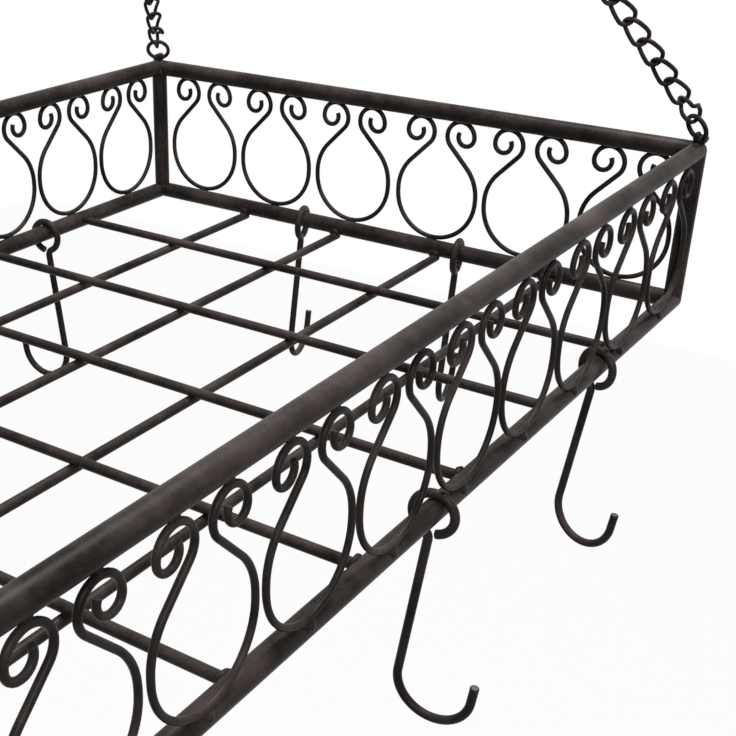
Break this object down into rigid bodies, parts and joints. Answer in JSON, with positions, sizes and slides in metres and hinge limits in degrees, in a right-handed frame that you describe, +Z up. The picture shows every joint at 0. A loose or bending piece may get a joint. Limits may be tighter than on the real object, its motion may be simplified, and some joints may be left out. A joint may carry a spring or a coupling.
{
  "type": "hanging pot rack",
  "caption": "Ceiling-hung rectangular pot rack of black round tube with a wire grid floor, a border of wire scrolls, corner chains and swinging pot hooks.",
  "frame": {"origin": "where the axis of the ceiling hook's screw shank meets the ceiling; the rack hangs below it", "axes": "+Z up along the screw shank, +Y to the back along the rack's length, +X to the right across its width"},
  "size_m": [0.51, 0.7806, 0.7898],
  "materials": {
    "powder_coat": "satin brown-black powder coat on steel",
    "weld": "satin powder coat over weld beads, slightly uneven"
  },
  "bodies": {
    "ceiling_hook": {"ceiling_hook": "powder_coat"},
    "master_ring": {"master_ring": "powder_coat"},
    "rack": {"top_rail_back": "powder_coat", "top_rail_right": "powder_coat", "top_rail_front": "powder_coat", "top_rail_left": "powder_coat", "bottom_rail_back": "powder_coat", "bottom_rail_right": "powder_coat", "bottom_rail_front": "powder_coat", "bottom_rail_left": "powder_coat", "post_back_left": "powder_coat", "post_back_right": "powder_coat", "post_front_right": "powder_coat", "post_front_left": "powder_coat", "wire_across_1": "powder_coat", "wire_across_2": "powder_coat", "wire_across_3": "powder_coat", "wire_across_4": "powder_coat", "wire_across_5": "powder_coat", "wire_across_6": "powder_coat", "wire_along_1": "powder_coat", "wire_along_2": "powder_coat", "wire_along_3": "powder_coat", "wire_along_4": "powder_coat", "scrolls_back": "powder_coat", "scrolls_right": "powder_coat", "scrolls_front": "powder_coat", "scrolls_left": "powder_coat", "corner_ring_back_left": "powder_coat", "corner_ring_back_right": "powder_coat", "corner_ring_front_right": "powder_coat", "corner_ring_front_left": "powder_coat", "chain_back_left": "powder_coat", "chain_back_right": "powder_coat", "chain_front_right": "powder_coat", "chain_front_left": "powder_coat", "scroll_welds_back": "weld", "scroll_welds_right": "weld", "scroll_welds_front": "weld", "scroll_welds_left": "weld", "grid_welds": "weld", "ring_welds": "weld"},
    "pot_hook_back_1": {"pot_hook_back_1": "powder_coat"},
    "pot_hook_back_2": {"pot_hook_back_2": "powder_coat"},
    "pot_hook_right_1": {"pot_hook_right_1": "powder_coat"},
    "pot_hook_right_2": {"pot_hook_right_2": "powder_coat"},
    "pot_hook_right_3": {"pot_hook_right_3": "powder_coat"},
    "pot_hook_front_1": {"pot_hook_front_1": "powder_coat"},
    "pot_hook_front_2": {"pot_hook_front_2": "powder_coat"},
    "pot_hook_left_1": {"pot_hook_left_1": "powder_coat"},
    "pot_hook_left_2": {"pot_hook_left_2": "powder_coat"},
    "pot_hook_left_3": {"pot_hook_left_3": "powder_coat"}
  },
  "joints": [
    {"name": "ring_swing", "type": "hinge", "parent": "ceiling_hook", "child": "master_ring", "pos_m": [0, 0, -0.04954], "axis": [1, 0, 0], "range_deg": [-12, 12]},
    {"name": "rack_swing", "type": "hinge", "parent": "master_ring", "child": "rack", "pos_m": [0, 0, -0.08403], "axis": [0, 1, 0], "range_deg": [-6, 6]},
    {"name": "swing_back_1", "type": "hinge", "parent": "rack", "child": "pot_hook_back_1", "pos_m": [-0.07828, 0.3585, -0.62643], "axis": [1, 0, 0], "range_deg": [-60, 60]},
    {"name": "swing_back_2", "type": "hinge", "parent": "rack", "child": "pot_hook_back_2", "pos_m": [0.05995, 0.3585, -0.62643], "axis": [1, 0, 0], "range_deg": [-60, 60]},
    {"name": "swing_right_1", "type": "hinge", "parent": "rack", "child": "pot_hook_right_1", "pos_m": [0.2225, 0.2258, -0.62643], "axis": [0, -1, 0], "range_deg": [-35, 60]},
    {"name": "swing_right_2", "type": "hinge", "parent": "rack", "child": "pot_hook_right_2", "pos_m": [0.2225, 0.0143, -0.62643], "axis": [0, -1, 0], "range_deg": [-60, 35]},
    {"name": "swing_right_3", "type": "hinge", "parent": "rack", "child": "pot_hook_right_3", "pos_m": [0.2225, -0.21215, -0.62643], "axis": [0, -1, 0], "range_deg": [-60, 60]},
    {"name": "swing_front_1", "type": "hinge", "parent": "rack", "child": "pot_hook_front_1", "pos_m": [0.07828, -0.3585, -0.62643], "axis": [-1, 0, 0], "range_deg": [-60, 60]},
    {"name": "swing_front_2", "type": "hinge", "parent": "rack", "child": "pot_hook_front_2", "pos_m": [-0.05995, -0.3585, -0.62643], "axis": [-1, 0, 0], "range_deg": [-60, 60]},
    {"name": "swing_left_1", "type": "hinge", "parent": "rack", "child": "pot_hook_left_1", "pos_m": [-0.2225, -0.2258, -0.62643], "axis": [0, 1, 0], "range_deg": [-35, 60]},
    {"name": "swing_left_2", "type": "hinge", "parent": "rack", "child": "pot_hook_left_2", "pos_m": [-0.2225, -0.0143, -0.62643], "axis": [0, 1, 0], "range_deg": [-60, 35]},
    {"name": "swing_left_3", "type": "hinge", "parent": "rack", "child": "pot_hook_left_3", "pos_m": [-0.2225, 0.21215, -0.62643], "axis": [0, 1, 0], "range_deg": [-60, 60]}
  ]
}
